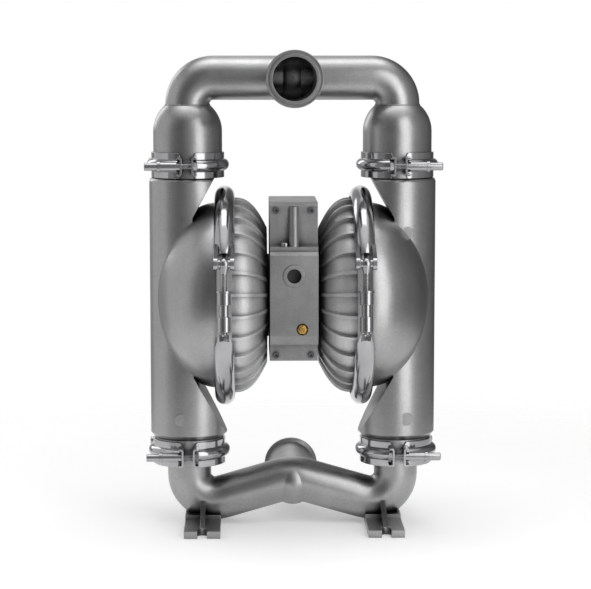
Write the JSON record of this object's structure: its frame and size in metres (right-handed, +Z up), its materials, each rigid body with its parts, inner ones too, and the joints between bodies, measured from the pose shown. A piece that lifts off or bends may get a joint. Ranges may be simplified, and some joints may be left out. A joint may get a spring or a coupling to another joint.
{
  "type": "air operated diaphragm pump",
  "caption": "Air operated double diaphragm pump: ribbed air chambers between domed liquid chambers, clamped top and bottom manifolds with ferrule ports, slotted feet.",
  "frame": {"origin": "on the floor, below the middle of the pump", "axes": "+Z up, X along the diaphragm shaft, -Y out of the discharge port, +Y out of the inlet port"},
  "size_m": [0.4086, 0.3436, 0.6668],
  "materials": {
    "cast_stainless": "bead-blasted casting",
    "cast_aluminium": "satin ribbed casting",
    "cast_block": "dull casting",
    "polished_stainless": "polished",
    "bright_hardware": "polished",
    "brass": "machined",
    "elastomer": "matte",
    "muffler_plastic": "matte",
    "machined_stainless": "turned",
    "ball_elastomer": "smooth"
  },
  "bodies": {
    "pump_body": {"discharge_manifold": "cast_stainless", "inlet_manifold": "cast_stainless", "liquid_chamber_left": "cast_stainless", "liquid_chamber_right": "cast_stainless", "air_chamber_left": "cast_aluminium", "air_chamber_right": "cast_aluminium", "center_block": "cast_block", "air_valve_body": "cast_block", "air_valve_gasket": "elastomer", "air_valve_screws": "bright_hardware", "air_valve_sleeve": "brass", "air_valve_end_cap": "bright_hardware", "brass_plug": "brass", "ridge_cap": "bright_hardware", "exhaust_muffler": "muffler_plastic", "shaft_bushings": "brass", "shaft_seals": "elastomer", "air_chamber_gaskets": "elastomer", "air_chamber_screws": "bright_hardware", "seat_seals": "elastomer", "diaphragm_left": "elastomer", "diaphragm_right": "elastomer", "discharge_seat_left": "machined_stainless", "discharge_seat_right": "machined_stainless", "inlet_seat_left": "machined_stainless", "inlet_seat_right": "machined_stainless", "top_clamp_inner_left": "polished_stainless", "top_clamp_inner_right": "polished_stainless", "top_clamp_outer_left": "polished_stainless", "top_clamp_outer_right": "polished_stainless", "bottom_clamp_inner_left": "polished_stainless", "bottom_clamp_inner_right": "polished_stainless", "bottom_clamp_outer_left": "polished_stainless", "bottom_clamp_outer_right": "polished_stainless", "manifold_clamp_bolts": "bright_hardware", "manifold_clamp_nuts": "bright_hardware", "chamber_clamp_upper_left": "polished_stainless", "chamber_clamp_upper_right": "polished_stainless", "chamber_clamp_lower_left": "polished_stainless", "chamber_clamp_lower_right": "polished_stainless", "chamber_clamp_bolts": "bright_hardware", "chamber_clamp_nuts": "bright_hardware"},
    "shaft": {"main_shaft": "machined_stainless", "inner_plate_left": "machined_stainless", "inner_plate_right": "machined_stainless", "outer_plate_left": "machined_stainless", "outer_plate_right": "machined_stainless"},
    "spool": {"air_valve_spool": "machined_stainless"},
    "discharge_ball_left": {"discharge_ball_left": "ball_elastomer"},
    "discharge_ball_right": {"discharge_ball_right": "ball_elastomer"},
    "inlet_ball_left": {"inlet_ball_left": "ball_elastomer"},
    "inlet_ball_right": {"inlet_ball_right": "ball_elastomer"}
  },
  "joints": [
    {"name": "shaft_stroke", "type": "slide", "parent": "pump_body", "child": "shaft", "axis": [1, 0, 0], "range_m": [-0.02, 0.02], "deforming": ["diaphragm_left", "diaphragm_right"]},
    {"name": "spool_shift", "type": "slide", "parent": "pump_body", "child": "spool", "axis": [0, 0, 1], "range_m": [0, 0.016]},
    {"name": "discharge_ball_left_lift", "type": "slide", "parent": "pump_body", "child": "discharge_ball_left", "axis": [0, 0, 1], "range_m": [0, 0.013]},
    {"name": "discharge_ball_right_lift", "type": "slide", "parent": "pump_body", "child": "discharge_ball_right", "axis": [0, 0, 1], "range_m": [0, 0.013]},
    {"name": "inlet_ball_left_lift", "type": "slide", "parent": "pump_body", "child": "inlet_ball_left", "axis": [0, 0, 1], "range_m": [0, 0.013]},
    {"name": "inlet_ball_right_lift", "type": "slide", "parent": "pump_body", "child": "inlet_ball_right", "axis": [0, 0, 1], "range_m": [0, 0.013]}
  ]
}
